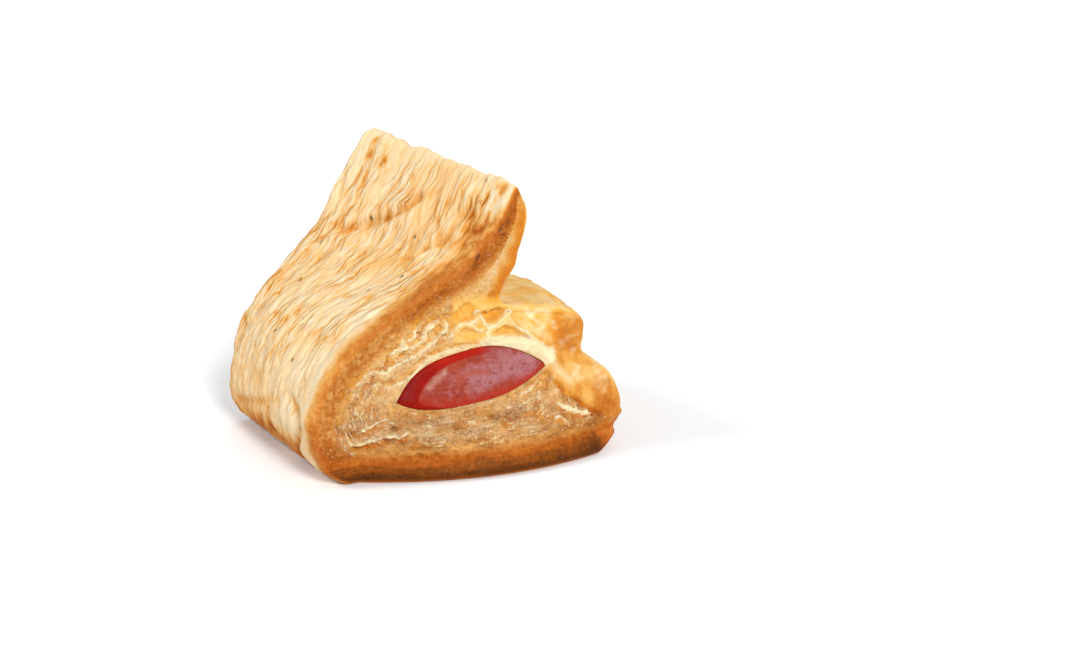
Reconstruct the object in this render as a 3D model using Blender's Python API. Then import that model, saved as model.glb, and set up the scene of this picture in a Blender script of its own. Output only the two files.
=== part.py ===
"""A puff pastry folded over a flat piece of sausage, open at both ends and along its right side.

The dough is one sheet: it lies flat below the sausage, turns up round the fold on the left,
passes over the sausage and ends in a thick flap that stands up from the lower half.
X runs from the fold to the lip, Y from the front end to the back end, Z is up.
The origin is the middle of the underside of the object's bounding box.
Sizes are in millimetres from the fold's front corner until the meshes are made.
"""

import math

import bmesh
import bpy
import numpy as np
from mathutils import Vector
from mathutils.geometry import delaunay_2d_cdt

MM = 0.001

# The kind of triangulation that keeps to the inside of its boundary, and how near points merge.
INSIDE_BOUNDARY = 1
MERGE_DISTANCE = 1e-6

# The two end faces. The dough bulges out at the foot of each, most at the front end.
FRONT_Y = 0.0
BACK_Y = 66.0
FRONT_BULGE = 14.5
BACK_BULGE = 4.0
BULGE_MIDDLE_X = 52.0
BULGE_HALF_WIDTH = 47.0
BULGE_HEIGHT = 34.0
END_ROUNDING = 2.2

# The sausage has a leaf-shaped section, blunter at its left end, with its right end raised.
SAUSAGE_CENTRE_X = 38.4
SAUSAGE_CENTRE_Z = 24.3
SAUSAGE_HALF_LENGTH = 22.4
SAUSAGE_TOP_RISE = 8.8
SAUSAGE_BELLY_DROP = 4.3
SAUSAGE_SKEW = 0.09
SAUSAGE_SLOPE = 0.096
SAUSAGE_GAP = 0.3

# Its front end stands out of the dough and is sliced, which leaves a crescent of skin.
SAUSAGE_STANDS_OUT = 0.8
SLICE_SCALE = 0.88
SLICE_PIVOT_X = 60.0
SLICE_PIVOT_Z = 22.0

# Places round the dough's section, anticlockwise as seen from the front end. Each holds (x, z)
# at the front end, (x, z) at the back end, and how far the dough swells out halfway along.
SECTION = {
    "fold": ((-9.0, 17.0), (-6.3, 12.0), 1.0),
    "fold_low": ((-5.0, 4.5), (-3.5, 3.5), 0.0),
    "base_left": ((2.0, 0.0), (3.0, 0.0), 0.0),
    "flat_left": ((10.0, 0.0), (10.5, 0.0), 0.0),
    "flat_right": ((66.0, 0.0), (65.5, 0.0), 0.0),
    "base_right": ((74.0, 0.0), (73.0, 0.0), 0.0),
    "lip": ((84.8, 12.0), (82.5, 11.5), 1.5),
    "lip_top": ((82.0, 20.5), (81.0, 19.0), 2.0),
    "under_tongue": ((75.0, 27.5), (75.0, 26.5), 3.0),
    "tongue_edge": ((75.3, 35.5), (78.5, 33.0), 4.0),
    "tongue_top": ((69.5, 40.5), (72.0, 37.5), 2.0),
    "tongue_middle": ((60.0, 43.0), (60.0, 41.0), 1.0),
    "root": ((49.5, 46.0), (44.0, 44.0), -2.0),
    "flap_end": ((54.5, 56.5), (45.0, 61.0), -1.0),
    "flap_edge": ((57.0, 73.0), (46.8, 76.5), 0.0),
    "tip": ((54.5, 78.0), (41.5, 82.0), 0.0),
    "neck": ((47.5, 67.5), (29.8, 69.3), -1.0),
    "shoulder": ((38.5, 59.0), (22.3, 57.8), -2.0),
    "slope": ((26.5, 52.0), (13.2, 48.4), -1.0),
    "hip": ((13.5, 45.0), (4.5, 39.5), 1.0),
    "waist": ((3.0, 38.0), (-1.5, 31.5), 1.5),
    "fold_high": ((-5.5, 28.5), (-4.7, 22.0), 1.5),
}

# How finely the dough is divided: round its section, along its length and over its end faces.
ROUND_STEP = 3.6
FLAT_STEP = 9.0
NORMAL_REACH = 4.0
LENGTH_STATIONS = 11
ROUNDING_STATIONS = 3
LATTICE = 5.0
LATTICE_CLEARANCE = 0.6
CHANNEL_STATIONS = 3
SAUSAGE_SIDES = 56
SHARP_ANGLE = math.radians(50)


def smooth_loop(points, counts):
    """A closed curve through the points, with the given number of samples in each span."""
    points = np.asarray(points, float)
    after = np.roll(points, -1, 0)
    gaps = np.linalg.norm(after - points, axis=1)[:, None]
    slope = (after - points) / gaps
    slope_before, gap_before = np.roll(slope, 1, 0), np.roll(gaps, 1, 0)
    tangent = (slope_before * gaps + slope * gap_before) / (gaps + gap_before)
    tangent_after = np.roll(tangent, -1, 0)
    samples = []
    for i, count in enumerate(counts):
        s = (np.arange(count) / count)[:, None]
        samples.append(
            points[i] * (2 * s**3 - 3 * s**2 + 1)
            + after[i] * (3 * s**2 - 2 * s**3)
            + gaps[i] * tangent[i] * (s**3 - 2 * s**2 + s)
            + gaps[i] * tangent_after[i] * (s**3 - s**2)
        )
    return np.concatenate(samples)


def section_counts():
    """How many samples each span of the section takes. The flat base takes fewer."""
    front = np.array([row[0] for row in SECTION.values()])
    lengths = np.linalg.norm(np.roll(front, -1, 0) - front, axis=1)
    steps = [FLAT_STEP if name == "flat_left" else ROUND_STEP for name in SECTION]
    return np.maximum(2, np.round(lengths / steps)).astype(int)


def outward(loop):
    """The unit normals of an anticlockwise closed curve, evened out over a short reach."""
    gaps = np.linalg.norm(np.roll(loop, -1, 0) - loop, axis=1)
    place = np.cumsum(gaps) - gaps
    ahead, behind = (
        np.stack([np.interp(place + r, place, axis, period=gaps.sum()) for axis in loop.T], 1)
        for r in (NORMAL_REACH, -NORMAL_REACH)
    )
    along = (ahead - behind) / np.linalg.norm(ahead - behind, axis=1)[:, None]
    return np.stack([along[:, 1], -along[:, 0]], 1)


def shrunk(loop, inset):
    """The curve moved inwards, and lifted off the ground by as much."""
    inner = loop - outward(loop) * inset
    inner[:, 1] = np.maximum(inner[:, 1], inset)
    return inner


def dough_outline(t):
    """The outline of the dough at the share t of the way from the front end to the back end."""
    counts = section_counts()
    front, back, swell = zip(*SECTION.values())
    loop = smooth_loop(front, counts) * (1 - t) + smooth_loop(back, counts) * t
    spans = zip(swell, np.roll(swell, -1), counts)
    swollen = np.concatenate([a + (b - a) * np.arange(n) / n for a, b, n in spans])
    return shrunk(loop + outward(loop) * (swollen * np.sin(np.pi * t))[:, None], 0.0)


def sausage_outline(grow=0.0):
    """The sausage's outline, anticlockwise from its left tip by way of its belly."""
    share = np.arange(SAUSAGE_SIDES) / SAUSAGE_SIDES
    belly = share < 0.5
    s = np.where(belly, 4 * share - 1, 3 - 4 * share)
    thickness = np.where(s < 0, 1 - s**4, 1 - s**2)
    rise = (SAUSAGE_TOP_RISE + grow) * thickness * (1 + SAUSAGE_SKEW * s)
    drop = (SAUSAGE_BELLY_DROP + grow) * thickness * (1 + SAUSAGE_SKEW * s)
    x = (SAUSAGE_HALF_LENGTH + 2 * grow) * s
    z = np.where(belly, -drop, rise) + SAUSAGE_SLOPE * x
    return np.stack([x + SAUSAGE_CENTRE_X, z + SAUSAGE_CENTRE_Z], 1)


def sliced(loop):
    """The outline of the slice: the sausage's own, drawn in most at its upper left."""
    pivot = np.array([SLICE_PIVOT_X, SLICE_PIVOT_Z])
    return pivot + (loop - pivot) * SLICE_SCALE


def in_space(section, y_share, stands_out=0.0):
    """Points of the section in space, at a share of the way along the bulging pastry."""
    arch = np.clip(1 - ((section[:, 0] - BULGE_MIDDLE_X) / BULGE_HALF_WIDTH) ** 2, 0, 1)
    low = np.cos(np.clip(section[:, 1] / BULGE_HEIGHT, 0, 1) * np.pi / 2) ** 2
    front = FRONT_Y - FRONT_BULGE * arch * low
    back = BACK_Y + BACK_BULGE * arch * low
    y = front + (back - front) * y_share - stands_out
    return np.stack([section[:, 0], y, section[:, 1]], 1)


def inside(points, loop):
    """Which points lie inside a closed curve: a line to the right crosses it an odd number of times."""
    x, z = points[:, :1], points[:, 1:]
    (x0, z0), (x1, z1) = loop.T, np.roll(loop, -1, 0).T
    crossed = (z0 > z) != (z1 > z)
    rise = np.where(z1 == z0, 1.0, z1 - z0)
    return (crossed & (x < x0 + (z - z0) * (x1 - x0) / rise)).sum(1) % 2 == 1


def lattice_between(rim, channel):
    """Evenly spread points of an end face, clear of its rim and of the sausage's channel."""
    low, high = rim.min(0), rim.max(0)
    rows = np.arange(low[1] + LATTICE / 2, high[1], LATTICE * np.sqrt(0.75))
    columns = np.arange(low[0], high[0], LATTICE)
    spots = [(x + LATTICE / 2 * (row % 2), z) for row, z in enumerate(rows) for x in columns]
    points = np.array(spots)
    edges = np.concatenate([rim, channel])
    gaps = np.linalg.norm(points[:, None] - edges[None], axis=2).min(1)
    clear = gaps > LATTICE * LATTICE_CLEARANCE
    return points[clear & inside(points, rim) & ~inside(points, channel)]


def end_face(rim, channel):
    """The points of an end face, its rim's first and its channel's next, and its triangles."""
    points = np.concatenate([rim, channel, lattice_between(rim, channel)])
    loops = [np.arange(len(rim)), np.arange(len(channel)) + len(rim)]
    edges = [(int(a), int(b)) for loop in loops for a, b in zip(loop, np.roll(loop, -1))]
    corners = [Vector(point) for point in points]
    joined = delaunay_2d_cdt(corners, edges, [], INSIDE_BOUNDARY, MERGE_DISTANCE)
    triangles = np.array(joined[2])
    return points, triangles[~inside(points[triangles].mean(1), channel)]


def dough_skin():
    """The rings of the dough's skin, from the front face's rim to the back face's."""
    turns = np.linspace(0, np.pi / 2, ROUNDING_STATIONS + 1)
    reach = END_ROUNDING / (BACK_Y - FRONT_Y)
    edge = [(reach * (1 - np.cos(a)), END_ROUNDING * (1 - np.sin(a))) for a in turns]
    middle = [(t, 0.0) for t in np.linspace(reach, 1 - reach, LENGTH_STATIONS + 1)[1:-1]]
    skin = edge + middle + [(1 - t, inset) for t, inset in reversed(edge)]
    return [in_space(shrunk(dough_outline(t), inset), t) for t, inset in skin]


def tube_faces(loops):
    """Quads that join each closed loop of points to the next."""
    for near, far in zip(loops, loops[1:]):
        for i in range(len(near)):
            yield near[i - 1], near[i], far[i], far[i - 1]


def food_material(name, colour, roughness):
    """A plain Principled material."""
    material = bpy.data.materials.new(name)
    material.use_nodes = True
    surface = material.node_tree.nodes["Principled BSDF"]
    surface.inputs["Base Color"].default_value = (*colour, 1.0)
    surface.inputs["Roughness"].default_value = roughness
    return material


def finished(shape, name, material):
    """The shape as an object, shaded smooth, with its faces pointing out."""
    bmesh.ops.recalc_face_normals(shape, faces=shape.faces)
    mesh = bpy.data.meshes.new(name)
    shape.to_mesh(mesh)
    shape.free()
    mesh.shade_smooth()
    mesh.set_sharp_from_angle(angle=SHARP_ANGLE)
    mesh.materials.append(material)
    piece = bpy.data.objects.new(name, mesh)
    bpy.context.scene.collection.objects.link(piece)
    return piece


def dough_shape(offset):
    """Skin, channel and two end faces, which share their edges and close the dough."""
    shape = bmesh.new()

    def placed(points):
        return [shape.verts.new((point + offset) * MM) for point in points]

    skin = [placed(ring) for ring in dough_skin()]
    channel = sausage_outline(SAUSAGE_GAP)
    shares = np.linspace(0, 1, CHANNEL_STATIONS + 1)
    lining = [placed(in_space(channel, t)) for t in shares]
    for corners in (*tube_faces(skin), *tube_faces(lining)):
        shape.faces.new(corners)
    for t, rim, hole in ((0.0, skin[0], lining[0]), (1.0, skin[-1], lining[-1])):
        points, triangles = end_face(shrunk(dough_outline(t), END_ROUNDING), channel)
        between = placed(in_space(points[len(rim) + len(hole):], t))
        corners = [*rim, *hole, *between]
        for triangle in triangles:
            shape.faces.new([corners[i] for i in triangle])
    return shape


def sausage_rings():
    """The sausage's rings: flat back end, front end, and the edge of the slice in front of it."""
    outline = sausage_outline()
    slice_edge = in_space(sliced(outline), 0.0, SAUSAGE_STANDS_OUT)
    return [in_space(outline, 1.0), in_space(outline, 0.0), slice_edge]


def sausage_shape(offset):
    """The rings joined by quads, with a face across each end."""
    shape = bmesh.new()
    loops = [[shape.verts.new((p + offset) * MM) for p in ring] for ring in sausage_rings()]
    for corners in (*tube_faces(loops), loops[0], loops[-1]):
        shape.faces.new(corners)
    return shape


def main():
    for old in list(bpy.data.objects):
        bpy.data.objects.remove(old, do_unlink=True)
    points = np.concatenate([*dough_skin(), *sausage_rings()])
    middle = (points.min(0) + points.max(0)) / 2
    offset = -np.array([middle[0], middle[1], 0.0])
    crust = food_material("baked_dough", (0.84, 0.55, 0.27), 0.55)
    meat = food_material("sausage_meat", (0.50, 0.13, 0.10), 0.35)
    finished(dough_shape(offset), "pastry", crust)
    finished(sausage_shape(offset), "sausage", meat)


main()
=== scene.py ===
"""How the sausage roll looks: flaky golden pastry folded over a flat piece of sliced sausage.

Shapes are worked out in millimetres from the fold's front corner, with X running from the fold to
the lip, Y from the front end to the back end and Z up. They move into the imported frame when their
meshes are made.
"""

import math

import bpy
import numpy as np
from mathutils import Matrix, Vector, noise
from mathutils.geometry import delaunay_2d_cdt


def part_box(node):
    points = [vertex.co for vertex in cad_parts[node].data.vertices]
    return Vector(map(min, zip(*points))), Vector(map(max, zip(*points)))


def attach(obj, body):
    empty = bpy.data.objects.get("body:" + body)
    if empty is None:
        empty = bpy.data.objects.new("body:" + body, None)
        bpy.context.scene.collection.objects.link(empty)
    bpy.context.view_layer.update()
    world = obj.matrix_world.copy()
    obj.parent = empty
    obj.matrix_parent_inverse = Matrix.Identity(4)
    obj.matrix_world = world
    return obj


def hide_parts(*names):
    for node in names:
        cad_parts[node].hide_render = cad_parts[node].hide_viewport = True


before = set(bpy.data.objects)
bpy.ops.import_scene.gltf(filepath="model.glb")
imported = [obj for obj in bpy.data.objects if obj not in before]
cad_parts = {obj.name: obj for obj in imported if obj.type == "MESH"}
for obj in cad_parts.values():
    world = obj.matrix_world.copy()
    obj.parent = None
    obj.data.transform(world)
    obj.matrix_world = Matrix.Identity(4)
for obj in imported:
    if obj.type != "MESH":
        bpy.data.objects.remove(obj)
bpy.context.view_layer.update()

MM = 0.001
TINY = 1e-6

# ------------------------------------------------------------------ the dough's plan, as it was packed

BACK_Y = 66.0
FRONT_BULGE = 14.5
BACK_BULGE = 4.0
BULGE_MIDDLE_X = 52.0
BULGE_HALF_WIDTH = 47.0
BULGE_HEIGHT = 34.0
END_ROUNDING = 2.2

SAUSAGE_CENTRE = np.array([38.4, 24.3])
SAUSAGE_HALF_LENGTH = 22.4
SAUSAGE_TOP_RISE = 8.8
SAUSAGE_BELLY_DROP = 4.3
SAUSAGE_SKEW = 0.09
SAUSAGE_SLOPE = 0.096
SAUSAGE_GAP = 0.3
SAUSAGE_STANDS_OUT = 0.8
SLICE_SCALE = 0.88
SLICE_PIVOT = np.array([60.0, 22.0])

# Places round the dough's section, anticlockwise as seen from the front end. Each holds (x, z)
# at the front end, (x, z) at the back end, and how far the dough swells out halfway along.
SECTION = {
    "fold": ((-9.0, 17.0), (-6.3, 12.0), 1.0),
    "fold_low": ((-5.0, 4.5), (-3.5, 3.5), 0.0),
    "base_left": ((2.0, 0.0), (3.0, 0.0), 0.0),
    "flat_left": ((10.0, 0.0), (10.5, 0.0), 0.0),
    "flat_right": ((66.0, 0.0), (65.5, 0.0), 0.0),
    "base_right": ((74.0, 0.0), (73.0, 0.0), 0.0),
    "lip": ((84.8, 12.0), (82.5, 11.5), 1.5),
    "lip_top": ((82.0, 20.5), (81.0, 19.0), 2.0),
    "under_tongue": ((75.0, 27.5), (75.0, 26.5), 3.0),
    "tongue_edge": ((75.3, 35.5), (78.5, 33.0), 4.0),
    "tongue_top": ((69.5, 40.5), (72.0, 37.5), 2.0),
    "tongue_middle": ((60.0, 43.0), (60.0, 41.0), 1.0),
    "root": ((49.5, 46.0), (44.0, 44.0), -2.0),
    "flap_end": ((54.5, 56.5), (45.0, 61.0), -1.0),
    "flap_edge": ((57.0, 73.0), (46.8, 76.5), 0.0),
    "tip": ((54.5, 78.0), (41.5, 82.0), 0.0),
    "neck": ((47.5, 67.5), (29.8, 69.3), -1.0),
    "shoulder": ((38.5, 59.0), (22.3, 57.8), -2.0),
    "slope": ((26.5, 52.0), (13.2, 48.4), -1.0),
    "hip": ((13.5, 45.0), (4.5, 39.5), 1.0),
    "waist": ((3.0, 38.0), (-1.5, 31.5), 1.5),
    "fold_high": ((-5.5, 28.5), (-4.7, 22.0), 1.5),
}
PLACES = list(SECTION)

# How finely the visible dough is divided: round it, along it and over its end faces.
ROUND_STEP = 0.78
FLAT_STEP = 2.6
NORMAL_REACH = 4.0
LENGTH_ROWS = 148
ROUNDING_ROWS = 5
LINING_ROWS = 4
SAUSAGE_SIDES = 160
FRONT_LATTICE = 0.38
BACK_LATTICE = 0.6
LATTICE_CLEARANCE = 0.6
INSIDE_BOUNDARY = 1


def smooth_loop(points, counts):
    """A closed curve through the points, with the given number of samples in each span."""
    points = np.asarray(points, float)
    after = np.roll(points, -1, 0)
    gaps = np.linalg.norm(after - points, axis=1)[:, None]
    slope = (after - points) / gaps
    slope_before, gap_before = np.roll(slope, 1, 0), np.roll(gaps, 1, 0)
    tangent = (slope_before * gaps + slope * gap_before) / (gaps + gap_before)
    tangent_after = np.roll(tangent, -1, 0)
    samples = []
    for i, count in enumerate(counts):
        s = (np.arange(count) / count)[:, None]
        samples.append(
            points[i] * (2 * s**3 - 3 * s**2 + 1)
            + after[i] * (3 * s**2 - 2 * s**3)
            + gaps[i] * tangent[i] * (s**3 - 2 * s**2 + s)
            + gaps[i] * tangent_after[i] * (s**3 - s**2)
        )
    return np.concatenate(samples)


def section_counts():
    """How many samples each span of the section takes. The flat base takes fewer."""
    front = np.array([row[0] for row in SECTION.values()])
    lengths = np.linalg.norm(np.roll(front, -1, 0) - front, axis=1)
    steps = [FLAT_STEP if name == "flat_left" else ROUND_STEP for name in SECTION]
    return np.maximum(2, np.round(lengths / steps)).astype(int)


COUNTS = section_counts()


def column(place):
    """The number of the sample at a named place of the section."""
    return int(COUNTS[: PLACES.index(place)].sum())


def outward(loop):
    """The unit normals of an anticlockwise closed curve, evened out over a short reach."""
    gaps = np.linalg.norm(np.roll(loop, -1, 0) - loop, axis=1)
    place = np.cumsum(gaps) - gaps
    ahead, behind = (
        np.stack([np.interp(place + r, place, axis, period=gaps.sum()) for axis in loop.T], 1)
        for r in (NORMAL_REACH, -NORMAL_REACH)
    )
    along = (ahead - behind) / np.linalg.norm(ahead - behind, axis=1)[:, None]
    return np.stack([along[:, 1], -along[:, 0]], 1)


def shrunk(loop, inset):
    """The curve moved inwards, and lifted off the ground by as much."""
    inner = loop - outward(loop) * inset
    inner[:, 1] = np.maximum(inner[:, 1], inset)
    return inner


def dough_outline(t):
    """The outline of the dough at the share t of the way from the front end to the back end."""
    front, back, swell = zip(*SECTION.values())
    loop = smooth_loop(front, COUNTS) * (1 - t) + smooth_loop(back, COUNTS) * t
    spans = zip(swell, np.roll(swell, -1), COUNTS)
    swollen = np.concatenate([a + (b - a) * np.arange(n) / n for a, b, n in spans])
    return shrunk(loop + outward(loop) * (swollen * np.sin(np.pi * t))[:, None], 0.0)


def sausage_outline(grow=0.0):
    """The sausage's outline, anticlockwise from its left tip by way of its belly."""
    share = np.arange(SAUSAGE_SIDES) / SAUSAGE_SIDES
    belly = share < 0.5
    s = np.where(belly, 4 * share - 1, 3 - 4 * share)
    thickness = np.where(s < 0, 1 - s**4, 1 - s**2)
    rise = (SAUSAGE_TOP_RISE + grow) * thickness * (1 + SAUSAGE_SKEW * s)
    drop = (SAUSAGE_BELLY_DROP + grow) * thickness * (1 + SAUSAGE_SKEW * s)
    x = (SAUSAGE_HALF_LENGTH + 2 * grow) * s
    z = np.where(belly, -drop, rise) + SAUSAGE_SLOPE * x
    return np.stack([x, z], 1) + SAUSAGE_CENTRE


def in_space(section, y_share, stands_out=0.0):
    """Points of the section in space, at a share of the way along the bulging pastry."""
    arch = np.clip(1 - ((section[..., 0] - BULGE_MIDDLE_X) / BULGE_HALF_WIDTH) ** 2, 0, 1)
    low = np.cos(np.clip(section[..., 1] / BULGE_HEIGHT, 0, 1) * np.pi / 2) ** 2
    front = -FRONT_BULGE * arch * low
    back = BACK_Y + BACK_BULGE * arch * low
    y = front + (back - front) * y_share - stands_out
    return np.stack([section[..., 0], y, section[..., 1]], -1)


def inside(points, loop):
    """Which points lie inside a closed curve: a line to the right crosses it an odd number of times."""
    x, z = points[:, :1], points[:, 1:]
    (x0, z0), (x1, z1) = loop.T, np.roll(loop, -1, 0).T
    crossed = (z0 > z) != (z1 > z)
    rise = np.where(z1 == z0, 1.0, z1 - z0)
    return (crossed & (x < x0 + (z - z0) * (x1 - x0) / rise)).sum(1) % 2 == 1


def far_from(points, marks):
    """How far each (x, z) point lies from the nearest of the marks."""
    nearest = np.full(len(points), np.inf)
    for x, z in marks:
        nearest = np.minimum(nearest, (points[:, 0] - x) ** 2 + (points[:, 1] - z) ** 2)
    return np.sqrt(nearest)


def lattice_between(rim, channel, size):
    """Evenly spread points of an end face, clear of its rim and of the sausage's channel."""
    low, high = rim.min(0), rim.max(0)
    rows = np.arange(low[1] + size / 2, high[1], size * np.sqrt(0.75))
    columns = np.arange(low[0], high[0], size)
    spots = [(x + size / 2 * (row % 2), z) for row, z in enumerate(rows) for x in columns]
    points = np.array(spots)
    points = points[inside(points, rim)]
    points = points[~inside(points, channel)]
    return points[far_from(points, [*rim, *channel]) > size * LATTICE_CLEARANCE]


def end_face(rim, channel, size):
    """The points of an end face, its rim's first and its channel's next, and its triangles."""
    points = np.concatenate([rim, channel, lattice_between(rim, channel, size)])
    loops = [np.arange(len(rim)), np.arange(len(channel)) + len(rim)]
    edges = [(int(a), int(b)) for loop in loops for a, b in zip(loop, np.roll(loop, -1))]
    joined = delaunay_2d_cdt([Vector(p) for p in points], edges, [], INSIDE_BOUNDARY, TINY)
    triangles = np.array(joined[2])
    return points, triangles[~inside(points[triangles].mean(1), channel)]


# ------------------------------------------------------------------ measuring and roughening


def smooth(value, start, end):
    """0 before start and 1 past end, with an easy passage between."""
    t = np.clip((value - start) / (end - start), 0, 1)
    return t * t * (3 - 2 * t)


def fade(value, start, end):
    """1 before start and 0 past end."""
    return 1 - smooth(value, start, end)


def hump(value, middle, width):
    """1 at the middle, fading to nothing within two widths of it."""
    return np.exp(-(((value - middle) / width) ** 2))


def clouds(coordinates, sizes, seed, layers=1):
    """Soft noise from about -1 to 1, in lumps of the given sizes in millimetres."""
    spots = np.stack([c / s + 17.3 * seed for c, s in zip(coordinates, sizes)], 1)
    if spots.shape[1] == 2:
        spots = np.concatenate([spots, np.full((len(spots), 1), 3.7 * seed)], 1)
    return np.array([noise.fractal(p, 1.0, 2.0, layers) for p in spots])


def from_line(points, line):
    """How far each point lies from a line of points."""
    nearest = np.full(len(points), np.inf)
    for start, end in zip(line, line[1:]):
        run = np.subtract(end, start)
        t = np.clip((points - start) @ run / (run @ run), 0, 1)
        nearest = np.minimum(nearest, np.linalg.norm(points - start - t[:, None] * run, axis=1))
    return nearest


def near(points, line, width, away=0.0):
    """1 where a point lies that far away from a line of points, fading to either side."""
    return hump(from_line(points, line), away, width)


def near_spot(points, spot, width):
    """1 at a spot, fading with the distance from it."""
    return hump(np.linalg.norm(points - spot, axis=1), 0, width)


def profile_at(places, profile):
    """The value of a profile, a row of (place, value), at each of the places."""
    return np.interp(places, *np.transpose(profile))


# ------------------------------------------------------------------ the dough's rings and end faces


def ring_places():
    """The share of the length and the inset of each ring of skin, from the front rim to the back rim."""
    turns = np.linspace(0, np.pi / 2, ROUNDING_ROWS + 1)
    reach = END_ROUNDING / BACK_Y
    edge = [(reach * (1 - np.cos(a)), END_ROUNDING * (1 - np.sin(a))) for a in turns]
    middle = [(t, 0.0) for t in np.linspace(reach, 1 - reach, LENGTH_ROWS + 1)[1:-1]]
    return edge + middle + [(1 - t, inset) for t, inset in reversed(edge)]


# Places further round the inside than this are counted from the outside instead.
UNDERSIDE_SEAM = -140.0


def around_from_tip():
    """Millimetres round the section from the flap's tip: positive down the outside, negative inside."""
    loop = dough_outline(0.0)
    gaps = np.linalg.norm(np.roll(loop, -1, 0) - loop, axis=1)
    place = np.cumsum(gaps) - gaps
    place = place - place[column("tip")]
    return np.where(place < UNDERSIDE_SEAM, place + gaps.sum(), place)


AROUND = around_from_tip()
SIDES = len(AROUND)
INNER_RIM = dough_outline(0.0)[(AROUND < -1) & (AROUND > -36)]


class EndFace:
    """One end of the dough: its points and triangles, and how deep in its dough each point lies."""

    def __init__(self, t, size):
        rim = shrunk(dough_outline(t), END_ROUNDING)
        channel = sausage_outline(SAUSAGE_GAP)
        self.section, self.triangles = end_face(rim, channel, size)
        self.spots = in_space(self.section, t)
        x, z = self.section.T
        self.around = AROUND[np.hypot(x[:, None] - rim[:, 0], z[:, None] - rim[:, 1]).argmin(1)]
        self.inward = END_ROUNDING + from_line(self.section, [*rim, rim[0]])
        self.from_sausage = from_line(self.section, [*channel, channel[0]])


# ------------------------------------------------------------------ relief, browning and painted shade of the skin

# Lines on the skin, as (x, y, z).
MAJOR_CREASE = [
    (25.3, 53.8, 56.6), (28, 50, 58.3), (30.7, 45.6, 60.1), (34, 39.9, 62.5), (37, 36.3, 65.5),
    (40.1, 32.8, 68.8),
]
SECOND_CREASE = [
    (46.1, 13.3, 70.4), (42.1, 14.6, 64.9), (38.3, 16.4, 60.7), (35, 19.1, 57.6), (30.7, 23.1, 54.9),
]
VALLEY = [(29.3, 46.1, 58.4), (30.2, 38, 56.7), (31.5, 27.9, 56), (28.4, 24.8, 53.6), (15.5, 27.1, 46.8)]
RIDGE_ROLL = [
    (38, 9, 59.5), (30.1, 9.7, 54.1), (13.7, 8.4, 45.6), (5, 4.9, 39.8), (-2.5, 4.5, 31.5), (-7.6, 4.5, 20),
]
BULGE = [(0.8, 28.6, 36.9), (-3.9, 32.1, 30.9), (-2.3, 48.4, 32.1)]
# How far from a line, how high and how wide the skin rises, or sinks where the height is below 0.
SKIN_RELIEF = [
    (MAJOR_CREASE, 0, -1.3, 1.1),
    (MAJOR_CREASE, 3.2, 0.9, 2.0),
    (SECOND_CREASE, 0, -0.8, 1.0),
    (SECOND_CREASE, 2.6, 0.5, 1.6),
    (VALLEY, 0, -0.9, 4.5),
    (RIDGE_ROLL, 0, 0.8, 3.4),
    (BULGE, 0, 0.8, 6),
]
# How much darker the skin is painted along a crease, as painted shade in it, and how wide.
CREASE_SHADE = [(MAJOR_CREASE, 0.14, 1.3), (SECOND_CREASE, 0.10, 1.2)]

# Spots on the skin: small dark specks, and browner patches at the flap's two tips.
SPECKS = [
    (1.8, 28.8, 37.9), (-1.5, 39.6, 34), (18.6, 22, 48.2), (26.1, 15.7, 51.9), (10.8, 50.8, 44.7),
    (20.5, 57.3, 53.1), (35.5, 26.5, 59.8), (50.3, 11.1, 77.5), (31.2, 46.6, 61.3), (-4.3, 23, 30.6),
]
SPECK_SIZE = 0.45
BACK_TIP_BROWN = [(39.8, 59.2, 80.6), (37.5, 53.8, 75.2), (36.9, 58, 76.4), (38.6, 51.6, 76.1)]
FRONT_TIP_BROWN = [(48.3, 8.6, 72.6), (45.1, 11.5, 68.1), (50.5, 3.9, 74.8), (52, 3.8, 77.4), (45, 6.6, 66.4)]
# Each row of patches, their size and how much browner they are.
TIP_BROWNING = [(BACK_TIP_BROWN, 1.5, 0.26), (FRONT_TIP_BROWN, 1.7, 0.18)]

# Lines up the fold, as (y, z).
PLEATS = [[(32, 0), (31.3, 6), (31.5, 14)], [(16.5, 3), (15, 7.9), (8.8, 15.3), (10.2, 19.2), (16.1, 21.7)]]
LOW_FOLD = [(57.4, 9.5), (46, 12.5), (35.3, 15.5), (29.1, 18.5)]

# Small chips out of the lip's corner, or crumbs on it where the depth is below 0: where, how deep and
# how wide.
CHIPS = [((81.3, -6.9, 7.2), 2.6, 1.5), ((83.2, -5.6, 9.8), -0.8, 1.0), ((79.8, -7.2, 5.2), -0.7, 0.9)]

# How far the browning at the front ridge reaches along the roll, and how deep it is, round the section.
GLOW_REACH = [(8, 13), (20, 11), (30, 10.5), (44, 7.5), (56, 5.5), (68, 4.5), (78, 3), (88, 3.4), (102, 4.5)]
GLOW_DEPTH = [(6, 0), (15, 0.31), (26, 0.38), (46, 0.41), (58, 0.32), (76, 0.32), (92, 0.46), (104, 0.40)]
BACK_GLOW = 0.12
SKIN_BAKE = 0.17


class Look:
    """What each point of the dough looks like, and how far it moves out of the plain surface."""

    # The browning kind also holds painted shade in creases, pleats, grooves, pockets and pores, and the pale
    # kind also holds painted highlights on crests and round the mouth.
    KINDS = ("out", "bake", "crumb", "butter", "pale", "scorch", "grain", "rough")

    def __init__(self, count):
        for kind in self.KINDS:
            setattr(self, kind, np.zeros(count))

    def part(self, chosen):
        """The look of some of the points."""
        some = Look(0)
        for kind in self.KINDS:
            setattr(some, kind, getattr(self, kind)[chosen])
        return some

    def turned_into(self, other, amount):
        """Change this look into the other: not at all where the amount is 0, and fully where it is 1."""
        for kind in self.KINDS:
            own = getattr(self, kind)
            setattr(self, kind, own + (getattr(other, kind) - own) * amount)


def bent_along(spots):
    """How far along the roll each point lies, bent to and fro, as the wrinkles wander."""
    return spots[:, 1] + 3.0 * clouds(spots.T, (24, 24, 24), 1) + 0.6 * clouds(spots.T, (6, 6, 6), 15)


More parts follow.
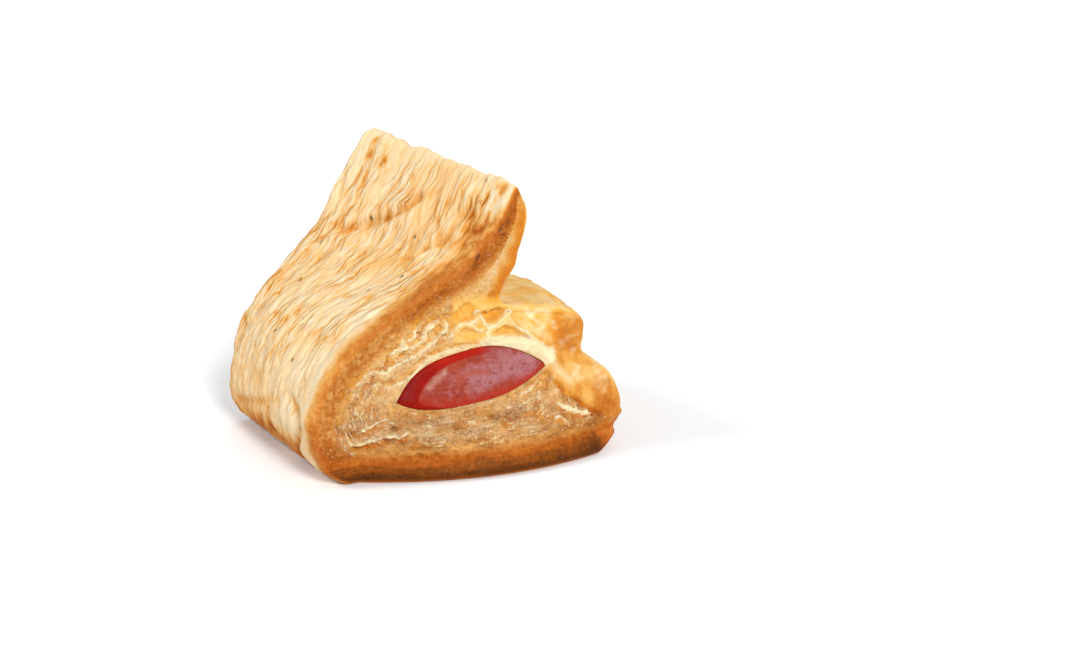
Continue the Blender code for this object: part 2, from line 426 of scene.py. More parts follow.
class Skin:
    """The skin, point by point: which part of it each point belongs to, and how wrinkled it is."""

    def __init__(self, spots, around, share):
        self.spots, self.around, self.front_half = spots, around, share < 0.5
        x, y, z = spots.T
        self.near_end = np.minimum(share, 1 - share) * BACK_Y
        self.outside = smooth(around, -2, 4) * fade(around, 104, 114)
        self.inside_mouth = smooth(-around, 3, 9) * fade(-around, 96, 106)
        # Bark-like wrinkles follow the section round. The finish adds the finer ones.
        self.bent = bent_along(spots)
        lively = smooth(clouds((x, y, z), (12, 8, 12), 5), -0.35, 0.25)
        self.past_ridge = 0.12 + 0.88 * smooth(y, 3.0, 9)
        self.strength = self.outside * self.past_ridge * (0.45 + 0.55 * lively)
        self.coarse = 0.35 + 0.65 * smooth(around, 2, 8) * fade(around, 62, 84)
        self.wrinkled = self.strength * self.coarse * hump(clouds((around, self.bent), (19, 3.2), 2), 0, 0.20)
        self.at_fold = self.outside * smooth(-x, -3, 1.5)
        fold_side = spots[:, 1:]
        self.pleat = sum(near(fold_side, line, 1.6) for line in PLEATS)
        self.low_fold = near(fold_side, LOW_FOLD, 1.4)

    def shape(self, look):
        """Wrinkles, creases, rolls and pleats."""
        x, y, z = self.spots.T
        look.rough = self.strength * (0.45 + 0.55 * self.coarse)
        look.out -= 0.55 * self.wrinkled
        swell = clouds((self.around, self.bent), (16, 4.5), 6, 2)
        look.out += self.outside * (0.3 + 0.7 * self.past_ridge) * 0.6 * swell
        lumps = clouds((x, y, z), (3.2, 2.4, 3.2), 7, 2)
        look.out += 0.30 * lumps * (self.outside + 0.8 * self.inside_mouth)
        for line, away, height, width in SKIN_RELIEF:
            look.out += self.outside * height * near(self.spots, line, width, away)
        look.out -= self.at_fold * (1.6 * self.pleat + 0.9 * self.low_fold)
        # The flap's top edge is ragged, and the tongue and lip are thin and wavy.
        ragged = 0.9 * clouds((y, x), (4.5, 9), 8, 2) + 0.6 * clouds((y, x), (1.6, 5), 9, 2)
        look.out += hump(self.around, -1, 4) * ragged
        look.out += self.inside_mouth * 0.7 * clouds((x, y, z), (8, 6, 8), 10, 2)
        look.out *= smooth(z, 0.0, 2.5)

    def brown(self, look):
        """The outer skin: pale on the whole, and browner at the ridges and the base. The creases, pleats and
        wrinkles' grooves and the low back of the fold are painted darker as shade, and the ridge roll paler
        as a painted highlight.
        """
        x, y, z = self.spots.T
        around, outside = self.around, self.outside
        patches = clouds((x, y, z), (18, 12, 18), 11, 2)
        streaks = clouds((around, self.bent), (14, 1.8), 12, 2)
        # The last term paints the deep wrinkles' grooves a little darker: painted shade in them.
        look.bake = SKIN_BAKE + 0.06 * patches + 0.03 * streaks + 0.05 * self.wrinkled
        # The browning starts outside the ridges of both ends.
        reach, depth = profile_at(around, GLOW_REACH), profile_at(around, GLOW_DEPTH)
        depth = depth + 0.08 * patches + 0.10 * clouds((x, y, z), (2.0, 1.6, 2.0), 18, 2)
        wavy = 1 + 0.30 * clouds((x, y, z), (5, 4, 5), 19, 4)
        ridge_glow = outside * fade(self.near_end * wavy / reach, 0.05, 1.65)
        look.bake += ridge_glow * np.where(self.front_half, 1.0, BACK_GLOW) * depth
        look.grain = 0.6 * outside * fade(y, 2.5, 9) * self.front_half
        # Painted shade along the creases.
        for line, amount, width in CREASE_SHADE:
            look.bake += outside * amount * near(self.spots, line, width)
        # Paler along the ridge roll: a painted highlight where the roll bulges.
        look.bake -= outside * 0.10 * near(self.spots, RIDGE_ROLL, 4) * smooth(z, 20, 36)
        look.bake += outside * 0.07 * hump(y, 29, 11) * fade(around, 34, 44)
        # Low round the fold the skin is painted darker towards the back end and a little paler near the
        # front: painted shade on the side away from the light.
        look.bake += outside * smooth(around, 64, 98) * (0.11 * smooth(y, 18, 44) - 0.04)
        # Browner at the fold's foot by the table: partly its own browning, partly a painted contact shadow.
        foot = smooth(around, 93, 101) * smooth(y, 9, 15) * (1 - 0.8 * smooth(y, 46, 58))
        look.bake += outside * 0.30 * foot * (1 + 0.5 * patches)
        # Darker in the pleats and along the low fold: painted shade in them.
        look.bake += self.at_fold * (0.24 * self.pleat + 0.12 * self.low_fold)
        look.bake += 0.40 * smooth(-z, -6.5, -0.4) * (0.7 + 0.3 * patches)
        mottled = smooth(clouds((x, y, z), (2.6, 2.6, 2.6), 16, 2), -0.1, 0.45)
        look.bake += outside * smooth(15 - y, 0, 9) * smooth(z, 52, 66) * 0.20 * (mottled - 0.25)
        for patch_spots, size, amount in TIP_BROWNING:
            for spot in patch_spots:
                look.bake += outside * amount * (0.5 + 0.9 * mottled) * near_spot(self.spots, spot, size)
        for spot in SPECKS:
            look.scorch = np.maximum(look.scorch, 1.4 * near_spot(self.spots, spot, SPECK_SIZE))

    def butter(self, look):
        """The flap's inner side, the tongue and the lip: buttery, and less browned."""
        x, y, z = self.spots.T
        mouth, inwards = self.inside_mouth, -self.around
        look.butter = mouth * smooth(inwards, 4, 14) * (0.85 - 0.45 * smooth(inwards, 62, 84))
        pale = smooth(clouds((x, y, z), (7, 9, 7), 13, 3), -0.15, 0.5)
        look.pale = 0.3 * mouth * pale * smooth(inwards, 30, 44)
        look.bake += mouth * smooth(inwards, 12, 26) * (0.13 + 0.12 * clouds((x, y, z), (5, 8, 5), 45, 3))
        lip, under_tongue = hump(inwards, 90, 11), hump(inwards, 63, 3.5)
        look.bake += lip * (0.05 + 0.34 * smooth(19 - z, 0, 13))
        look.bake += under_tongue * (0.16 + 0.14 * smooth(10 - y, 0, 12))


def skin_look(spots, around, share):
    """The outer skin, the inside of the flap, the tongue and the lip, and the browned underside."""
    skin, look = Skin(spots, around, share), Look(len(spots))
    skin.shape(look)
    skin.brown(look)
    skin.butter(look)
    return look


# ------------------------------------------------------------------ relief, browning, painted shade and painted highlights of the ends

# Torn crests on the front end face: each line of (x, z), how high it stands and how pale it is. The paleness
# is partly the dough's own and partly a painted highlight, and it also sets how golden the painted shadow
# beside the crest is.
CRESTS = [
    ([(33, 37.5), (33.4, 39.5), (34.9, 40.9), (36.8, 41.5), (38.9, 40.9), (40.1, 41.9), (41.1, 44)], 1.5,
     0.8),
    ([(41.1, 44), (42.3, 42.1), (43.2, 40.3), (44.5, 39), (46.3, 39.3), (48.2, 40.4), (50.7, 42.4)], 1.6, 1),
    ([(50.7, 42.4), (51.3, 40.3), (53.2, 38.2), (56.1, 36.4), (58.0, 34.6), (61.0, 30.8)], 1.1, 0.7),
    ([(44.5, 39.0), (44.1, 37.3), (43.8, 35.3)], 1.0, 0.9),
    ([(39.8, 40.2), (41.4, 38.8), (43.2, 38.6)], 0.8, 0.7),
    ([(31.6, 42.6), (31.8, 40.8), (30.9, 39.3), (28.7, 37.3), (26, 35.7), (23.8, 34.6), (21.4, 33.6)], 1.2,
     0.9),
    ([(29.4, 42.9), (27.3, 41.8), (25.8, 40.9), (25.7, 38.9), (23.9, 37.7), (22.4, 36.6), (20.2, 36.6)], 1.1,
     0.9),
    ([(25.2, 44.1), (23.7, 42.6), (22.7, 41.0), (22.4, 39.4), (20.9, 38.2)], 0.9, 0.8),
    ([(18.8, 39.1), (18.5, 37.7), (19.6, 37.0), (17.5, 36.4), (15.4, 35.3)], 0.9, 1.0),
    ([(10.8, 31.0), (13.7, 30.3), (15.9, 31.9), (18.0, 32.4), (19.9, 33.2)], 1.1, 1.0),
    ([(3.0, 27.4), (4.8, 28.8), (6.9, 29.6), (8.5, 31.3), (10.5, 31.6)], 0.9, 0.6),
    ([(5.9, 23.3), (7.0, 24.5), (7.7, 26.1), (9.2, 27.3), (11.2, 27.9)], 0.8, 0.7),
    ([(14, 26.1), (16.2, 26.9), (18.6, 27.4), (20.8, 28.4), (23.4, 30.5), (26.8, 32.5), (31.1, 33.5)], 0.6,
     0.8),
    ([(31.1, 33.5), (35.8, 33.9), (41.3, 33.8), (48.2, 33.2)], 0.5, 0.7),
    ([(3.6, 11.3), (5.5, 11.4), (8, 12.1), (11.9, 13), (14, 13.4), (15.2, 12.3), (17.2, 14)], 1.0, 0.8),
    ([(5.6, 15.1), (7.4, 15.8), (9.3, 16.8), (12.6, 17.9)], 0.6, 0.7),
    ([(1.2, 26), (-0.3, 23.7), (0.5, 21.6), (-1.6, 19.9), (-2.2, 17.7), (-1.4, 15), (0, 12.5)], 0.8, 0.35),
    ([(0.0, 12.5), (1.7, 10.2), (3.8, 8.1)], 0.7, 0.35),
    ([(33.9, 11.5), (35.6, 12.6), (36.0, 11.1)], 0.5, 0.4),
    ([(17.0, 10.3), (18.4, 11.3), (20.8, 11.7), (22.7, 10.2)], 0.5, 0.3),
    ([(63.0, 15.8), (65.8, 14.4), (68.2, 13.2), (71.5, 12.3)], 0.8, 0.8),
    ([(61.3, 13.1), (63.6, 12.0), (64.8, 10.3)], 0.7, 0.6),
    ([(51.3, 19.2), (53.2, 20.2), (56.1, 21.0), (58.6, 22.6)], 0.5, 0.5),
]
# Pockets among them: each line, how deep it goes, how wide it is and how golden. The gold is partly the
# crumb's own colour and partly painted shade in the hollow.
POCKETS = [
    ([(32.8, 43.3), (33.7, 40.8), (32.4, 38.7), (30.0, 37.1)], 1.6, 0.8, 0.8),
    ([(29.7, 41.4), (28.2, 39.1), (25.7, 37.2), (23.6, 35.5)], 2.0, 1.1, 0.9),
    ([(24.0, 40.0), (21.5, 39.8), (20.6, 38.5)], 1.4, 0.7, 0.8),
    ([(19.0, 35.4), (16.3, 34.4), (13.9, 33.3)], 1.5, 0.8, 0.8),
    ([(12.2, 29.7), (9.9, 29.4), (8.3, 27.7), (6.8, 26.0), (6.2, 24.4)], 1.6, 0.6, 0.9),
    ([(3.3, 26.2), (2.7, 24.6)], 1.0, 0.6, 0.7),
    ([(38.9, 44.9), (36.5, 43.9), (34.3, 43.0)], 1.4, 1.3, 0.7),
    ([(44.2, 41.8), (46.3, 41.6), (48.2, 42.4)], 2.0, 1.3, 0.8),
    ([(35.8, 39.4), (38.3, 37.9), (41.3, 36.8)], 1.8, 1.5, 0.25),
    ([(46.6, 37.6), (50.4, 37.5), (53.5, 36.2)], 1.9, 1.1, 0.6),
    ([(3.2, 10.6), (6.5, 10.3), (10.0, 10.8), (13.3, 11.8)], 1.5, 0.5, 0.9),
    ([(19.4, 16.2), (22.7, 15.9)], 0.9, 0.4, 0.8),
    ([(59.5, 23.2), (62.1, 23.4), (61.1, 21.4)], 1.6, 1.0, 0.9),
    ([(63.7, 21.5), (66.0, 18.6), (69.3, 16.3), (71.9, 13.5), (75.6, 11.3)], 0.9, 0.6, 0.9),
    ([(26, 14.9), (33, 14.6), (40, 14.9)], 0.7, 0.5, 0.4),
    ([(44.7, 13.5), (47.3, 14.2), (50.9, 14.7), (53.9, 15.2), (57.3, 13.8), (61.8, 12.5)], 0.8, 0.7, 0.5),
]
# Round holes in the crumb.
PORES = [
    (31.4, 14), (37.5, 12.4), (42.1, 15.9), (46.9, 16.4), (35.6, 17.8), (23.4, 13), (14.1, 15.2), (2.7, 14.3),
    (51, 17), (28, 17.2), (18.5, 18.6), (9.5, 20.5), (56, 17.5),
]
# Pale dough over the sausage and at its right tip, a painted highlight round the mouth's edge past the
# sausage's right tip, and where the front end changes from part to part.
WHITE_DOUGH = [(40.5, 35.0), (46.5, 34.4), (51, 33.6), (54.5, 33.0), (58, 31.6), (61, 29.6), (63, 27.8)]
MOUTH_PAINTED_HIGHLIGHT = [(62.1, 29.8), (64.0, 27.4), (64.7, 24.9), (66.4, 22.8), (68.2, 21.0)]
LIP_EDGE = [
    (58, 24.2), (62.1, 23.7), (63.7, 21.5), (66, 18.6), (69.3, 16.3), (71.9, 13.5), (75.6, 11.3), (80, 8.5),
]
BACK_LIP_HEIGHT = 14.0
CREST_HEIGHTS = [
    (33, 38.5), (36.8, 41.5), (38.9, 40.9), (41.1, 44), (44.5, 39), (50.7, 42.4), (53.2, 38.2), (61, 30.8),
]
# How much browner the end face is at each height above the table.
BASE_BROWNING = [
    (0, 0.62), (2.2, 0.62), (3.5, 0.52), (5.5, 0.43), (7.5, 0.28), (9, 0.17), (12, 0.12), (14, 0.05), (16, 0),
]
BURN = [(41.9, 59.6), (41.1, 58.6)]
LIP_CORNER = np.array([78.5, 12.0])
LIP_PALE = [(74, 22), (78, 18.5)]
TONGUE_BROWN = [(69.5, 33.5), (70.4, 29.1)]

END_BAKE = 0.31
MOST_BAKED = 0.97
BAND_WIDTH = 7.0
LAYERS = 26
LAYERS_A_TERRACE = 1.75
# The crests' sheets hang below them down to this height, and stand above them lower down.
SHEETS_HANG_ABOVE = 22
SHEET_SIDE = np.array([0.5, -1.1])


def terraces(layer, along):
    """Layers of uneven depth: how deep each point lies, and how near it is to a torn edge."""
    number = np.floor(layer)
    within = layer - number
    deep = [1.1 * clouds(((number - back) * 5.13, along), (1, 8), 28) for back in (1, 0)]
    step = smooth(within, 0, 0.3)
    return deep[0] + (deep[1] - deep[0]) * step, hump(within, 0.05, 0.14)


def layer_of(section, inward, from_sausage):
    """Which layer each point of an end lies in, counted from the rim to the sausage."""
    z = section[:, 1]
    even = 0.45 * smooth(16 - z, 0, 10)
    return LAYERS * inward / (inward + from_sausage + TINY) * (1 - even) + even * z * 0.9


class End:
    """An end of the dough, point by point: which part of it each point belongs to, and its look."""

    def __init__(self, section, inward, around, from_sausage, front):
        self.look = Look(len(section))
        self.section, self.from_sausage, self.front = section, from_sausage, front
        x, z = section.T
        self.depth = np.maximum(inward, 0)
        self.coarse, self.small = clouds((x, z), (3.4, 3.4), 20, 2), clouds((x, z), (1.2, 1.2), 26, 2)
        self.bubbles = smooth(clouds((x, z), (1.0, 0.8), 24, 2), 0.05, 0.40)
        self.loose = smooth(from_sausage, 1.0, 5.0)
        self.flap = smooth(z, 46, 53)
        self.mouth_side = smooth(-around, 0, 5) * fade(-around, 100, 110)
        self.below = smooth(10 - z, 0, 4.5)
        self.outer_side = (1 - self.mouth_side) * (1 - self.below)
        ragged = self.depth + 1.3 * self.coarse + 0.8 * self.small
        width = BAND_WIDTH + 1.0 * hump(around, 78, 18) - 0.8 * hump(around, 40, 12)
        self.band = fade(ragged, width - 2.6, width + 1.8)
        self.yellow = fade(from_line(section, INNER_RIM) + self.coarse + 0.5 * self.small, 2.4, 6.0)
        self.yellow *= smooth(z, 44, 49) * (1 - 0.6 * smooth(z, 67, 75))
        self.split_golden()
        self.crumb = smooth(ragged, width - 1.8, width + 1.6) * (1 - self.flap) * (1 - self.golden)
        wander = 1.1 * clouds((x, z), (7, 5), 30, 2) + 0.7 * clouds((x, z), (2.2, 1.6), 31, 2)
        layer = (layer_of(section, self.depth, from_sausage) + wander) / LAYERS_A_TERRACE
        self.terrace, torn_edge = terraces(layer, x + 0.8 * z)
        self.torn_edge = torn_edge * smooth(clouds((x, z), (6, 4), 32), -0.3, 0.3) * self.loose
        self.torn = self.torn_edge * self.crumb * (0.15 + 0.45 * smooth(z, 18, 26))
        self.gold = np.zeros(len(z))

    def split_golden(self):
        """The smooth right side, the dough behind the crests and the hollows among them."""
        x, z = self.section.T
        if self.front:
            self.over_lip = z - profile_at(x, LIP_EDGE)
            self.smooth_side = smooth(self.over_lip, -0.4, 1.0) * fade(z, 44, 48)
            self.smooth_side *= smooth(x + 0.25 * (z - 24), 59.5, 63.5)
            over_crest = z - profile_at(x, CREST_HEIGHTS)
            low = fade(z, 46, 50)
            self.behind = low * smooth(over_crest, -0.3, 1.0) * smooth(x, 34, 38) * fade(x, 66, 72)
            self.hollows = low * smooth(x, 33, 35) * smooth(z, 34.5, 36.5) * fade(x + z, 92, 96)
        else:
            self.over_lip = z - BACK_LIP_HEIGHT
            self.smooth_side = self.mouth_side * (1 - self.flap) * fade(self.depth + self.coarse, 4.5, 8)
            self.behind = self.hollows = np.zeros(len(x))
        self.golden = np.maximum.reduce([self.smooth_side, self.behind, self.hollows])

    def sink(self):
        """How deep each point lies: a hollow band, and terraced, bubbly crumb."""
        crumb = self.crumb
        self.sunk = 0.8 * hump(self.depth, 4.6, 2.4) * self.outer_side * (1 - 0.5 * self.flap)
        self.sunk += crumb * (0.9 + self.terrace * self.loose - 0.30 * self.torn_edge + 0.30 * self.coarse)
        bubbly = 0.20 * self.small + 0.30 * self.bubbles * (0.25 + 0.75 * crumb)
        self.sunk += smooth(self.depth, 0.6, 2.5) * bubbly * (1 - 0.7 * self.smooth_side)

    def tear(self):
        """The front end's torn crests, with a sheet on one side and a shadow on the other, and pockets. The
        crests' pale edges are partly a painted highlight; the shadows and pockets are sunk and also painted
        golden as painted shade.
        """
        x, z = self.section.T
        across = 0.45 * self.small + 0.25 * self.bubbles
        wobbly = self.section + np.stack([across, 0.50 * clouds((x, z), (1.4, 1.4), 34, 2)], 1)
        broken = 0.55 + 0.65 * smooth(clouds((x, z), (2.6, 2.6), 39, 2), -0.35, 0.30)
        peaks = 1 - 0.7 * smooth(z, 42.0, 43.8)
        sheet_side = np.where(z > SHEETS_HANG_ABOVE, 1.0, -1.0)[:, None] * SHEET_SIDE
        raised = np.zeros(len(x))
        for line, height, paleness in CRESTS:
            away = from_line(wobbly, line)
            body = near(wobbly - sheet_side, line, 1.2)
            # The shadow beside each crest is sunk and also painted golden: painted shade.
            shadow = near(wobbly + 0.85 * sheet_side, line, 0.6)
            raised = np.maximum(raised, height * (0.55 * broken * hump(away, 0, 0.42) + 0.50 * body))
            # The crest's paleness is partly the dough's own and partly a painted highlight.
            pale = paleness * peaks * (0.95 * broken * hump(away, 0, 0.36) + 0.42 * body)
            self.torn = np.maximum(self.torn, pale)
            self.gold = np.maximum(self.gold, 0.9 * paleness * shadow)
        deep = 0.8 * self.gold
        # The shine is how golden each pocket is painted: partly the crumb's own colour, partly painted shade
        # in the hollow.
        for line, depth, reach, shine in POCKETS:
            hollow = fade(from_line(wobbly, line), 0.35 * reach, 1.5 * reach)
            deep = np.maximum(deep, depth * hollow)
            self.gold = np.maximum(self.gold, shine * hollow)
        self.sunk += deep * (1 - np.minimum(1, raised)) - raised
        for pore_x, pore_z in PORES:
            pore = hump(x, pore_x, 0.9) * hump(z, pore_z, 0.6) * (0.7 + 0.8 * self.small)
            self.sunk += pore
            # Each pore is also painted darker: painted shade in the hole.
            self.look.bake += 0.16 * pore
        white = near(0.5 * (wobbly + self.section), WHITE_DOUGH, 1.9)
        self.sunk += 1.4 * self.behind - 0.3 * self.hollows - 1.6 * white
        self.look.scorch = near(self.section, BURN, 0.55)
        above = hump(self.from_sausage, 0.7, 0.9) * smooth(z - 0.1 * (x - 38), 26, 31) * smooth(x, 17, 26)
        # A painted highlight along the curve from the mouth to the lip.
        mouth_highlight = near(self.section, MOUTH_PAINTED_HIGHLIGHT, 1.8)
        self.look.pale = np.maximum.reduce([0.5 * mouth_highlight, 1.4 * white * smooth(x, 38, 47), 0.6 * above])
        streaked = np.clip(0.40 + 0.45 * clouds((x + z, x - z), (2.2, 9), 36, 3), 0, 1)
        self.look.pale += self.behind * smooth(x, 50, 57) * fade(x, 59, 71) * streaked

    def brown(self):
        """Deepest orange at the ridge, at the flap's tip, at the fold's foot and along the base."""
        x, z = self.section.T
        look, crumb, coarse, small = self.look, self.crumb, self.coarse, self.small
        # The sunk bubbles are painted a little darker: painted shade in them.
        look.bake += END_BAKE + 0.05 * small + 0.05 * self.bubbles * (0.4 + 0.6 * crumb)
        low_left = hump(z, 21, 4) * smooth(16 - x, 0, 10)
        look.bake += crumb * (0.11 + 0.12 * self.terrace * self.loose + 0.06 * coarse + 0.08 * low_left)
        look.bake += 0.24 * crumb * hump(z, 15.5, 3.0) * (0.7 + 0.6 * clouds((x, z), (7, 3), 38))
        foot = smooth(14 - z, 0, 9) * smooth(12 - x, 0, 10)
        browned = 0.19 + 0.08 * foot + 0.07 * hump(self.depth, 0, 2.2)
        browned += 0.10 * smooth(z, 56, 68) * hump(self.depth, 2.4, 4.0)
        browned += 0.12 * smooth(z, 40, 50) * (1 - 0.5 * smooth(z, 56, 66))
        uneven = 0.14 * coarse + 0.07 * small
        look.bake += self.band * self.outer_side * (browned * (1 - 0.75 * self.yellow) + uneven)
        # The golden shade of pockets and of the crests' shadows is painted in here as extra browning.
        look.bake += self.gold * (0.07 * (1 - self.golden) + 0.12 * self.golden)
        base = profile_at(z + 0.5 * coarse, BASE_BROWNING)
        look.bake += (1 - self.mouth_side) * base * (1 - 0.4 * crumb)
        look.bake += 0.08 * smooth(13 - z, 0, 8) * clouds((x, z), (14, 0.8), 27, 3)
        under_lip = smooth(x, 58, 82) * smooth(-self.over_lip, -1.0, 3.5)
        look.bake += under_lip * (0.13 + 0.10 * smooth(x, 66, 78))
        look.bake += 0.26 * near_spot(self.section, LIP_CORNER, 5.5) * self.front
        side = 0.11 + 0.10 * coarse + 0.10 * smooth(x, 58, 72) * smooth(z, 25, 32)
        side += 0.10 * near(self.section, TONGUE_BROWN, 2.4) - 0.10 * smooth(z, 32, 38) * fade(x, 63, 68)
        look.bake = np.minimum(look.bake + self.smooth_side * side, MOST_BAKED)
        look.bake += 0.29 * self.yellow + 0.02 * self.behind

    def finish(self):
        """What is crumb, what is pale or buttery, and how grainy it is. Nothing moves at the seams."""
        x, z = self.section.T
        look, crumb, side = self.look, self.crumb, self.smooth_side
        look.crumb = np.maximum(crumb * (1 - self.below), 0.5 * side)
        mottled = smooth(clouds((x, z), (4.5, 3.5), 33, 2), 0.0, 0.45) * smooth(z, 14, 18)
        look.pale += side * (0.35 * mottled + 0.3 * near(self.section, LIP_PALE, 3.0))
        speckled = crumb * (0.26 + 0.22 * clouds((x, z), (5, 3), 35, 2)) * smooth(z, 8, 12)
        torn = self.torn * (1 - 0.4 * self.band * self.outer_side)
        look.pale = np.maximum.reduce([look.pale, torn, speckled])
        # The butter also takes the golden painted shade of the pockets and of the crests' shadows.
        golden = np.maximum.reduce([self.behind, self.hollows, self.gold])
        look.butter = np.maximum.reduce([golden, 0.75 * self.yellow, 0.4 * side])
        look.grain = smooth(self.depth, 0.5, 3.0) * (1 - 0.75 * np.maximum(self.golden, self.yellow))
        look.grain *= (1 - 0.85 * self.below) * (1 - 0.7 * np.clip(look.pale - 0.5, 0, 1))
        look.grain *= (1 - 0.45 * crumb) * (1 - 0.6 * np.minimum(self.gold, 1))
        look.out = -self.sunk * smooth(self.from_sausage, 0, 1.2) * smooth(self.depth, 0.8, 2.6)
        return look


def end_look(section, inward, around, from_sausage, front):
    """An end of the dough: a browned, granular band inside the rim, and layers of crumb within it."""
    end = End(section, inward, around, from_sausage, front)
    end.sink()
    if front:
        end.tear()
    end.brown()
    return end.finish()


# ------------------------------------------------------------------ the dough's mesh

FAR_FROM_SAUSAGE = 20.0
ALONG_THE_LAYERS = [1.0, 0.8]
# Places round the section and along the roll are painted on the dough as shares of these spans.
ROUND_SHIFT, ROUND_SPAN = 150, 300
LONG_SHIFT, LONG_SPAN = 10, 100

def skin_surface():
    """The skin's points, ring by ring, and each point's place round the section and along it."""
    rings = ring_places()
    spots = np.concatenate([in_space(shrunk(dough_outline(t), inset), t) for t, inset in rings])
    return spots, np.tile(AROUND, len(rings)), np.repeat([t for t, _ in rings], SIDES)


def tube_faces(loops):
    """Quads that join each closed loop of point numbers to the next."""
    for near, far in zip(loops, loops[1:]):
        for i in range(len(near)):
            yield near[i], near[i - 1], far[i - 1], far[i]


def pressed(name, spots, faces):
    """A mesh object from points in millimetres and from faces, with its normals pointing out."""
    mesh = bpy.data.meshes.new(name)
    mesh.from_pydata(((spots + OFFSET) * MM).tolist(), [], faces)
    piece = bpy.data.objects.new(name, mesh)
    bpy.context.scene.collection.objects.link(piece)
    mesh.shade_smooth()
    return piece


def move_points(mesh, spots):
    """Put a mesh's points at these places, in millimetres from the fold's front corner."""
    mesh.vertices.foreach_set("co", ((spots + OFFSET) * MM).astype(np.float32).ravel())
    mesh.update()


def normals_of(mesh):
    """The direction in which each point's surface faces."""
    normals = np.empty(len(mesh.vertices) * 3, np.float32)
    mesh.vertex_normals.foreach_get("vector", normals)
    return normals.reshape(-1, 3)


def paint(mesh, name, *amounts):
    """Store up to four amounts from 0 to 1 at each point, for the material to read."""
    colour = np.ones((len(mesh.vertices), 4), np.float32)
    for i, amount in enumerate(amounts):
        colour[:, i] = np.clip(amount, 0, 1)
    mesh.attributes.new(name, "FLOAT_COLOR", "POINT").data.foreach_set("color", colour.ravel())


def rounded_look(skin, around, share):
    """The skin's look, which turns into that of the end face over the rounding between them."""
    look = skin_look(skin, around, share)
    insets = np.repeat([inset for _, inset in ring_places()], SIDES)
    for at_front in (True, False):
        close = np.flatnonzero(((share < 0.5) == at_front) & (insets > 0.0))
        far_off = np.full(len(close), FAR_FROM_SAUSAGE)
        end = end_look(skin[close][:, [0, 2]], insets[close], around[close], far_off, at_front)
        start = 0.1 + 0.9 * smooth(around[close], 14, 34) * fade(around[close], 96, 108)
        part = look.part(close)
        part.turned_into(end, smooth(insets[close], start, start + 1.3))
        for kind in Look.KINDS:
            getattr(look, kind)[close] = getattr(part, kind)
    return look


def make_pastry():
    """Skin, channel and end faces as one closed surface, roughened and browned point by point."""
    skin, around, share = skin_surface()
    channel = sausage_outline(SAUSAGE_GAP)
    lining = [in_space(channel, t) for t in np.linspace(0, 1, LINING_ROWS + 1)[1:-1]]
    loops = np.arange(len(skin)).reshape(-1, SIDES)
    faces = list(tube_faces(loops.tolist()))
    spots, looks, rounds, layers = [skin], [rounded_look(skin, around, share)], [around], [bent_along(skin)]
    count, mouths = len(skin), []
    for t, size, rim in ((0.0, FRONT_LATTICE, loops[0]), (1.0, BACK_LATTICE, loops[-1])):
        face = EndFace(t, size)
        look = end_look(face.section, face.inward, face.around, face.from_sausage, t == 0.0)
        within = np.arange(SIDES, len(face.spots))
        numbers = np.concatenate([rim, within - SIDES + count])
        spots.append(face.spots[within])
        looks.append(look.part(within))
        rounds.append((face.section @ ALONG_THE_LAYERS)[within])
        layers.append(layer_of(face.section, face.inward, face.from_sausage)[within])
        count += len(within)
        triangles = numbers[face.triangles]
        faces += (triangles if t == 0.0 else triangles[:, ::-1]).tolist()
        mouths.append(numbers[SIDES : SIDES + SAUSAGE_SIDES])
    between = [np.arange(SAUSAGE_SIDES) + count + i * SAUSAGE_SIDES for i in range(len(lining))]
    rows = [row.tolist() for row in (mouths[0], *between, mouths[1])]
    faces += [quad[::-1] for quad in tube_faces(rows)]
    blank = np.zeros(len(lining) * SAUSAGE_SIDES)
    looks.append(Look(len(blank)))
    spots = np.concatenate([*spots, *lining])
    rounds, layers = np.concatenate([*rounds, blank]), np.concatenate([*layers, blank])
    amounts = {kind: np.concatenate([getattr(look, kind) for look in looks]) for kind in Look.KINDS}
    for chip, depth, size in CHIPS:
        amounts["out"] -= depth * near_spot(spots, chip, size)
    piece = pressed("flaky_pastry", spots, faces)
    mesh = piece.data
    move_points(mesh, spots + normals_of(mesh) * amounts["out"][:, None])
    # The browning painted here includes painted shade, and the pale amounts include painted highlights.
    paint(mesh, "baking_and_shade", amounts["bake"], amounts["crumb"], amounts["butter"])
    paint(mesh, "marks", amounts["pale"], amounts["scorch"], amounts["grain"])
    rounds, layers = (rounds + ROUND_SHIFT) / ROUND_SPAN, (layers + LONG_SHIFT) / LONG_SPAN
    paint(mesh, "wrinkles", rounds, layers, amounts["rough"])
    return piece


PLAIN = np.concatenate([skin_surface()[0], EndFace(0.0, 2.0).spots])
CAD_LOW, CAD_HIGH = (np.array(corner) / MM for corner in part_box("pastry"))
OFFSET = (CAD_LOW + CAD_HIGH - PLAIN.min(0) - PLAIN.max(0)) / 2
OFFSET[2] = CAD_LOW[2] - PLAIN[:, 2].min()

# ------------------------------------------------------------------ finishes


class Amount:
    """A number that a material works out, with arithmetic that adds Math nodes."""

    def __init__(self, finish, socket):
        self.finish, self.socket = finish, socket

    def math(self, operation, *values):
        """What a Math node makes of the values."""
        return self.finish.node("ShaderNodeMath", {"operation": operation}, dict(enumerate(values)))

    def __add__(self, other):
        return self.math("ADD", self, other)

    def __radd__(self, other):
        return self.math("ADD", other, self)

    def __sub__(self, other):
        return self.math("SUBTRACT", self, other)

    def __rsub__(self, other):
        return self.math("SUBTRACT", other, self)

    def __mul__(self, other):
        return self.math("MULTIPLY", self, other)

    def __rmul__(self, other):
        return self.math("MULTIPLY", other, self)

    def __truediv__(self, other):
        return self.math("DIVIDE", self, other)

    def __rtruediv__(self, other):
        return self.math("DIVIDE", other, self)

    def above(self, start, end):
        """0 below start and 1 past end."""
        settings = {"interpolation_type": "SMOOTHSTEP"}
        return self.finish.node("ShaderNodeMapRange", settings, {0: self, 1: start, 2: end})


